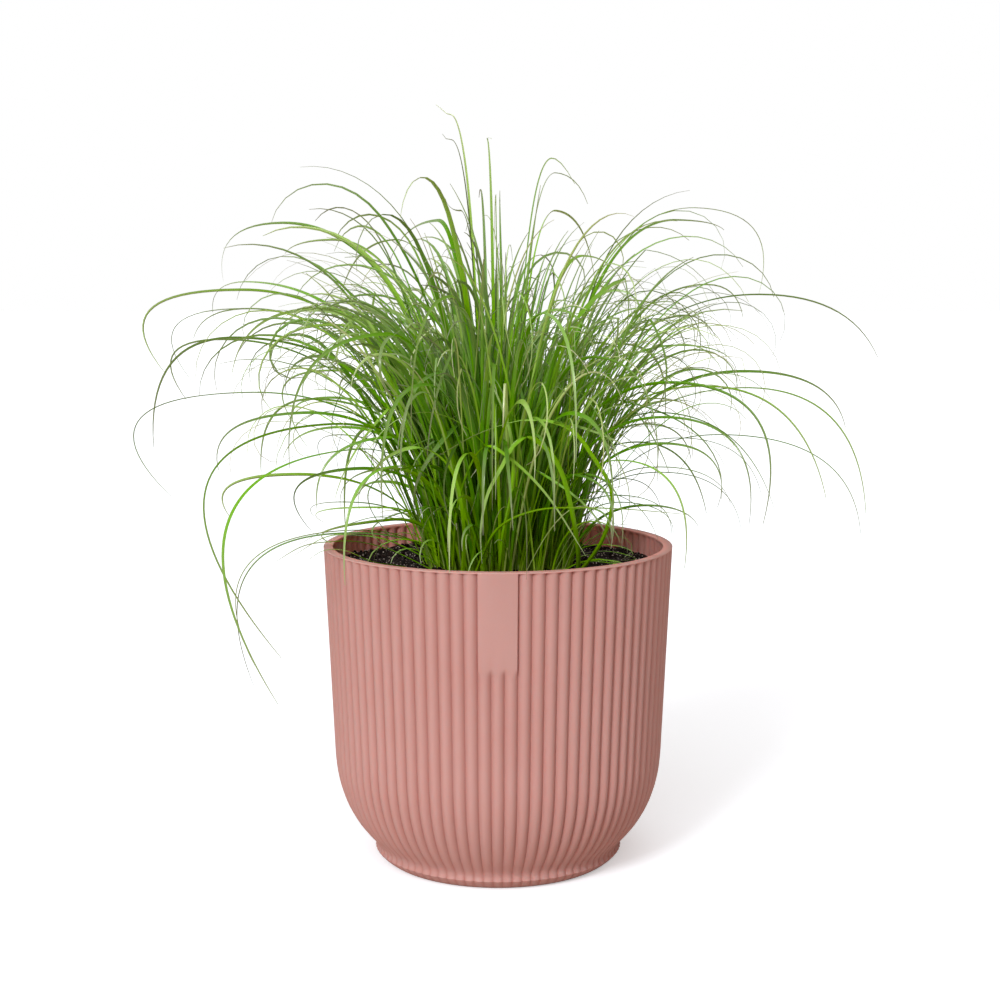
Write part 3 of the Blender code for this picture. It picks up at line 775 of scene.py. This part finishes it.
# %% Leaves that bend under their own weight
FAN_ROOT_SHARE = 0.95
FAN_ROOT_SPREAD = 4
FAN_ROOT_LIMIT = 27.0
SHEATH_SPREAD = 2.0
SHOOT_SIZE = (0.7, 1.02)
LENGTH_SPREAD = 1.5
LEAN_LIMITS = (-4, 68)
WEIGHT_POWER = 1.3
UPRIGHT_WEIGHT = 0.65
LEANING_WEIGHT = 1.5
BEND_POWER = (1.8, 3.6)
KINKED_SHARE = 0.12
KINK_TURN = (40, 110)
KINK_PLACE = (0.5, 0.9)
CURL_START = 0.7
CURL_POWER = 1.5
STEP_POWER = 0.8
LOWEST_TIP = POT_HEIGHT + 5.0
TOP_OF_FILL = (212.0, 282.0)
BELOW_MAIN_TIP = 10
OVER_LOWEST = 60
DROOP_SHARE = 0.65


def bending_lines(
    row, chance, count, points, length, lean, bend, sway, heading_spread, curl, lowest, farthest
):
    """Centre lines of leaves that fan out around a shoot, as an array of leaf by point by (x, y, z).

    A leaf starts with its own lean from the upright and leans more and more along its length, because the
    part beyond weighs it down: lean + bend * share ** power. A kink adds a jump, and the curl a quick turn
    near the tip. The sines of the lean, added up step by step, give how far out the leaf has come, and the
    cosines how high. Steps get shorter towards the tip, where the leaf bends most.

    Last, a tip that would hang too low falls less. It may come down to a little under the main leaf's tip or
    a little over the lowest height, or else DROOP_SHARE of the way from the leaf's top to the lowest height.
    And a leaf that would pass its row's reach, or the farthest one, reaches out less."""
    heading, root, arch_reach, _, _, tip_reach, tip_height = row
    start = np.clip(FAN_ROOT_SHARE * root + chance.normal(0, FAN_ROOT_SPREAD, count), 0, FAN_ROOT_LIMIT)
    shortest = length[0]
    longest = length[1] * chance.uniform(*SHOOT_SIZE)
    size = shortest + (longest - shortest) * chance.beta(LENGTH_SPREAD, LENGTH_SPREAD, count)
    first_lean = np.clip(lean[0] + lean[1] * start + chance.normal(0, lean[2], count), *LEAN_LIMITS)
    weight = UPRIGHT_WEIGHT + LEANING_WEIGHT * np.sin(np.radians(first_lean))
    weight = (size / length[1]) ** WEIGHT_POWER * weight
    bends = chance.uniform(*bend, count) * weight
    power = chance.uniform(*BEND_POWER, count)
    kinked = chance.uniform(0, 1, count) < KINKED_SHARE
    kink = kinked * chance.uniform(*KINK_TURN, count)
    kink_place = chance.uniform(*KINK_PLACE, count)
    curls = np.abs(chance.normal(0, curl, count))

    place = np.linspace(0, 1, points) ** STEP_POWER
    middle = (0.5 * (place[1:] + place[:-1]))[None, :]
    turn = first_lean[:, None] + bends[:, None] * middle ** power[:, None]
    turn = turn + kink[:, None] * (middle > kink_place[:, None])
    near_tip = np.clip((middle - CURL_START) / (1 - CURL_START), 0, 1)
    turn = np.radians(turn + curls[:, None] * near_tip**CURL_POWER)
    step = size[:, None] * np.diff(place)[None, :]
    nothing = np.zeros((count, 1))
    out = np.concatenate([nothing, np.cumsum(step * np.sin(turn), axis=1)], axis=1)
    up = np.concatenate([nothing, np.cumsum(step * np.cos(turn), axis=1)], axis=1)
    peak = np.maximum.accumulate(up, axis=1)
    fallen = peak - up
    peak *= np.minimum(1, (chance.uniform(*TOP_OF_FILL, count) - SOIL_TOP) / peak[:, -1])[:, None]
    top = SOIL_TOP + peak[:, -1]
    lowest_end = min(tip_height - BELOW_MAIN_TIP, lowest + OVER_LOWEST)
    may_fall = np.maximum(top - lowest_end, DROOP_SHARE * (top - lowest))
    fallen *= np.minimum(1, np.maximum(may_fall, 0) / np.maximum(fallen.max(axis=1), 1))[:, None]
    up = peak - fallen
    room = min(max(tip_reach, arch_reach), farthest) - start
    out *= np.minimum(1, room / np.maximum(out.max(axis=1), 1))[:, None]
    aside = chance.uniform(-sway, sway, count)[:, None] * place[None, :] ** 2

    angle = np.radians(heading + chance.normal(0, heading_spread, count))[:, None]
    spread = chance.normal(0, SHEATH_SPREAD, (2, count, 1)).clip(-2 * SHEATH_SPREAD, 2 * SHEATH_SPREAD)
    root_x = start[:, None] * math.cos(math.radians(heading)) + spread[0]
    root_y = start[:, None] * math.sin(math.radians(heading)) + spread[1]
    x = root_x + out * np.cos(angle) - aside * np.sin(angle)
    y = root_y + out * np.sin(angle) + aside * np.cos(angle)
    return np.stack([x, y, SOIL_TOP - ROOT_DEPTH + up], axis=-1), np.degrees(angle[:, 0])


print("share of the bending leaves that have a kink:", KINKED_SHARE)

# %% [markdown]
# ## Leaves that are placed one by one
#
# In front of the clump a few leaves arch across the others, and on the left some lie low over the soil and
# the rim. They catch the eye, so each one is a smooth line through a few points in millimetres, and belongs
# to the shoot that stands where it starts.

# %% Listed leaves: shoot, half width in the middle, points (x, y, z)
PLACED_LEAVES = [
    (40, 0.65, [
        (30, -20, 117), (40, -36, 135), (43, -45, 154), (35, -48, 169), (28, -49, 178), (20, -49, 181.5),
        (13, -49, 182), (6, -49, 181.3), (-7, -48, 177), (-18, -47, 171), (-28, -46, 165),
    ]),
    (38, 0.8, [
        (31, -20, 117), (31, -32, 128), (29, -40, 142), (25, -44, 159), (20, -46, 169), (12, -47, 175.5),
        (6, -47, 172.5), (1.5, -47, 164.5), (-4, -46, 153.5), (-6.5, -45, 140), (-6, -44, 127),
    ]),
    (33, 0.6, [
        (0, -28, 117), (1, -36, 126), (2, -40, 138), (5.5, -43, 157), (5, -44, 175), (0, -42, 190),
        (-5, -40, 199),
    ]),
    (32, 0.5, [
        (-10, -26, 117), (-3, -42, 136), (3, -48, 143.5), (12, -52, 148), (23, -55, 150), (46, -58, 150),
        (72, -60, 148),
    ]),
    (31, 0.5, [
        (-18, -20, 117), (-15, -36, 150), (-6, -43, 171), (5, -46, 167), (19, -48, 153), (33, -50, 131),
    ]),
    (28, 0.7, [
        (-14, -24, 117), (-13, -38, 140), (-17, -46, 162), (-28, -52, 172), (-42, -56, 168), (-54, -58, 152),
    ]),
    (24, 0.6, [
        (-18, -22, 117), (-33, -21, 124.5), (-43, -20, 129), (-55, -19, 131.8), (-66, -18, 131.6),
        (-77, -17, 129.5), (-88, -16, 123),
    ]),
    (22, 0.55, [
        (-16, -16, 117), (-32, -13, 126), (-45, -11, 131.4), (-58, -10, 133), (-69, -9, 131.8),
        (-82, -8, 124),
    ]),
    (26, 0.42, [
        (-20, -26, 117), (-35, -31, 123.5), (-48, -35, 126.5), (-58, -39, 131.4), (-66, -43, 132),
        (-73, -47, 128),
    ]),
    (20, 0.32, [
        (-14, 8, 117), (-30, 13, 132), (-48, 16, 136.5), (-63, 17, 133), (-73, 16, 130), (-86, 13, 123),
    ]),
    (42, 0.3, [(20, -20, 117), (33, -27, 125), (46, -33, 126), (55, -38, 122)]),
    (45, 0.28, [(22, -8, 117), (38, -11, 123.5), (50, -14, 121.5), (60, -15, 121)]),
]


def smooth_line(points, count):
    """A line through all the points: between two of them, a cubic whose slopes come from their neighbours."""
    points = np.array(points, float)
    ends = [2 * points[:1] - points[1:2], points, 2 * points[-1:] - points[-2:-1]]
    padded = np.vstack(ends)
    place = np.linspace(0, len(points) - 1, count)
    low = np.minimum(place.astype(int), len(points) - 2)
    share = (place - low)[:, None]
    before, a, b, after = (padded[low + k] for k in range(4))
    square = (2 * before - 5 * a + 4 * b - after) * share**2
    cube = (3 * a - before - 3 * b + after) * share**3
    return 0.5 * (2 * a + (b - before) * share + (square + cube))


print("hand-placed leaves:", len(PLACED_LEAVES))

# %% [markdown]
# ## The leaves' finish: sedge leaf
#
# A living leaf has a waxy skin over green tissue that lets some light through. To the eye it is fresh green
# with a soft gloss, paler at the sheath, deepest just above it, lighter towards the dry, greyer tip, and each
# leaf has its own shade. The upper part of each leaf is also painted lighter, as a painted highlight, and a
# few leaves get a pale tint as a painted silvery sheen. The skin's veins run lengthwise, about 0.15 mm
# apart, and are drawn about 0.3 mm apart, five across a leaf, so that they show at all.

# %% Sedge leaf
OWN_SHADE_SHARE = 0.62
VEIN_SCALE = 1.6
VEIN_LIGHT = 1.26

leaf_green, tree, shader = new_material("sedge leaf")
surface = add_node(tree, "UVMap", uv_map="surface").outputs["UV"]
along = add_node(tree, "Attribute", attribute_name="along").outputs["Fac"]
tint = add_node(tree, "Attribute", attribute_name="tint").outputs["Fac"]
by_length = add_node(
    tree,
    "ValToRGB",
    {"Fac": along},
    stops=[(0.0, "#B8BE64"), (0.05, "#8AAA30"), (0.2, "#58900C"), (0.45, "#66A01C")]
    + [(0.65, "#78A83A"), (0.85, "#8EA856"), (1.0, "#A8A488")],
)
# Each leaf's own shade. The pale stop at 0.88 is a painted silvery sheen for the few leaves whose tint lands
# near it.
by_leaf_and_sheen = add_node(
    tree,
    "ValToRGB",
    {"Fac": tint},
    stops=[(0.0, "#1F4C02"), (0.3, "#3F7A06"), (0.55, "#5E9C10"), (0.8, "#8CBE34")]
    + [(0.88, "#CEE098"), (0.93, "#8EA44C"), (1.0, "#A2A480")],
)
green = add_node(
    tree,
    "Mix",
    {0: OWN_SHADE_SHARE, 6: by_length.outputs["Color"], 7: by_leaf_and_sheen.outputs["Color"]},
    data_type="RGBA",
)
bands = {"Vector": surface, "Scale": VEIN_SCALE, "Distortion": 0.0}
veins = add_node(tree, "TexWave", bands, bands_direction="X")
vein_light = add_node(tree, "MapRange", {"Value": veins.outputs["Fac"], "To Min": 1.0, "To Max": VEIN_LIGHT})
# Painted highlight: the colour gets lighter up the leaf's middle part, standing in for the sheen that light
# gives the upper leaves.
upper_painted_highlight = add_node(
    tree, "MapRange", {"Value": along, "From Min": 0.28, "From Max": 0.65, "To Min": 0.93, "To Max": 1.15}
)
vein_and_highlight_factors = {0: vein_light.outputs["Result"], 1: upper_painted_highlight.outputs["Result"]}
vein_and_highlight = add_node(tree, "Math", vein_and_highlight_factors, operation="MULTIPLY").outputs[0]
fresh = add_node(tree, "MapRange", {"Value": along, "From Min": 0.55, "To Min": 1.06, "To Max": 0.68})
veined = add_node(
    tree,
    "HueSaturation",
    {"Color": green.outputs[2], "Value": vein_and_highlight, "Saturation": fresh.outputs["Result"]},
)
tree.links.new(veined.outputs["Color"], shader.inputs["Base Color"])
shader.inputs["Roughness"].default_value = 0.24
shader.inputs["IOR"].default_value = 1.45
shader.inputs["Specular IOR Level"].default_value = 0.3
shader.inputs["Subsurface Weight"].default_value = 0.15
shader.inputs["Subsurface Radius"].default_value = (0.6, 1.0, 0.25)
shader.inputs["Subsurface Scale"].default_value = 1.0 * MM
print("leaf finish made")

# %% [markdown]
# ## Growing the clump
#
# One leaf could be copied a thousand times, but copies show. So each shoot draws its own leaves in five
# groups, from stout blades to dried hairs, with lengths and widths in millimetres and leans, bends and turns
# in degrees. A lean's three numbers are its value at the pot's axis, what each millimetre out from there
# adds, and its spread. All leaves of a shoot are one joined mesh, which takes the place of its solid.

# %% Grow every shoot
FILL_SEED = 900
OUTLINE_POINTS = 60
OUTLINE_HALF_WIDTH = (0.55, 0.95)
OUTLINE_TINT = (0.1, 0.8)
PLACED_POINTS = 34
PLACED_TINT = 0.68
PLACED_TWIST = 0.3
HEADING_POINT = 8
TWIST = 0.5
TWIST_CHANGE = 1.1
WIDTH_SPREAD = (1.3, 2.0)
NEAR_SOIL = SOIL_TOP + 2.0
FRONT_SIDE = -0.6
ANYWHERE = 500.0
GROUPS = {
    "blades": {
        "count": 6, "points": 28, "length": (95, 225), "lean": (0.5, 0.5, 5), "bend": (50, 200), "sway": 14,
        "heading_spread": 16, "curl": 75, "lowest": LOWEST_TIP, "farthest": ANYWHERE,
        "half_width": (0.4, 1.1), "tint": (0.0, 0.88),
    },
    "young blades": {
        "count": 5, "points": 16, "length": (60, 160), "lean": (0.5, 0.36, 7), "bend": (15, 120), "sway": 26,
        "heading_spread": 60, "curl": 40, "lowest": LOWEST_TIP, "farthest": ANYWHERE,
        "half_width": (0.35, 1.05), "tint": (0.0, 0.9),
    },
    "fine blades": {
        "count": 2, "points": 26, "length": (100, 210), "lean": (2.0, 0.5, 8), "bend": (50, 210), "sway": 24,
        "heading_spread": 40, "curl": 60, "lowest": LOWEST_TIP, "farthest": ANYWHERE,
        "half_width": (0.18, 0.4), "tint": (0.5, 0.95),
    },
    "low blades": {
        "count": 2, "points": 12, "length": (30, 80), "lean": (20, 0.9, 12), "bend": (50, 200), "sway": 12,
        "heading_spread": 35, "curl": 20, "lowest": NEAR_SOIL, "farthest": 57.0,
        "half_width": (0.12, 0.3), "tint": (0.6, 0.97),
    },
    "hairs": {
        "count": 2, "points": 26, "length": (110, 200), "lean": (3, 0.8, 10), "bend": (90, 200), "sway": 25,
        "heading_spread": 30, "curl": 60, "lowest": LOWEST_TIP, "farthest": ANYWHERE,
        "half_width": (0.1, 0.2), "tint": (0.93, 1.0),
    },
}
OUTER_ROOT = 19.0
SLIMMER_RIGHT = 0.35
RIGHT_SIDE = (0.2, 0.9)


def belongs(name, row):
    """Low blades grow only on outer shoots, and hairs everywhere but at the front."""
    if name == "low blades":
        return row[1] > OUTER_ROOT
    return name != "hairs" or math.sin(math.radians(row[0])) > FRONT_SIDE


def grow(lines, headings, chance, half_width, tint):
    """The ribbons along some lines, with widths, twists and shades drawn at random.

    The shoots on the right are younger, so their leaves are slimmer."""
    count = len(lines)
    roll = np.stack([chance.normal(0, TWIST, count), chance.normal(0, TWIST_CHANGE, count)], axis=1)
    half_widths = half_width[0] + (half_width[1] - half_width[0]) * chance.beta(*WIDTH_SPREAD, count)
    half_widths *= 1 - SLIMMER_RIGHT * smooth_step(*RIGHT_SIDE, np.cos(np.radians(headings)))
    return ribbons(over_the_rim(lines), headings, half_widths, roll, chance.uniform(*tint, count))


total_faces = 0
for number, (main_row, side_row) in enumerate(zip(MAIN_LEAVES, SIDE_LEAVES), start=1):
    chance = np.random.default_rng(FILL_SEED + number)
    rows = np.stack([main_row, side_row])
    outline_lines = leaf_lines(rows, OUTLINE_POINTS)
    parts = [grow(outline_lines, rows[:, 0], chance, OUTLINE_HALF_WIDTH, OUTLINE_TINT)]
    for name, group in GROUPS.items():
        if not belongs(name, main_row):
            continue
        drawn = {key: value for key, value in group.items() if key not in ("half_width", "tint")}
        lines, headings = bending_lines(main_row, chance, **drawn)
        parts.append(grow(lines, headings, chance, group["half_width"], group["tint"]))
    for shoot_number, half_width, line_points in PLACED_LEAVES:
        if shoot_number == number:
            line = smooth_line(line_points, PLACED_POINTS)[None]
            way = line[:, HEADING_POINT] - line[:, 0]
            heading = np.degrees(np.arctan2(way[:, 1], way[:, 0]))
            roll = chance.normal(0, PLACED_TWIST, (1, 2))
            parts.append(ribbons(line, heading, np.array([half_width]), roll, np.array([PLACED_TINT])))
    points, faces, along_value, across_value, tint_value = joined(parts)
    shoot = new_piece(
        f"shoot_{number:02d}_leaves",
        points,
        faces.tolist(),
        {"along": along_value, "tint": tint_value},
        uv=np.stack([across_value, along_value], axis=1),
    )
    shoot.data.materials.append(leaf_green)
    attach(shoot, "root")
    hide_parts(f"shoot_{number:02d}")
    total_faces += len(faces)
print("leaf faces:", total_faces)
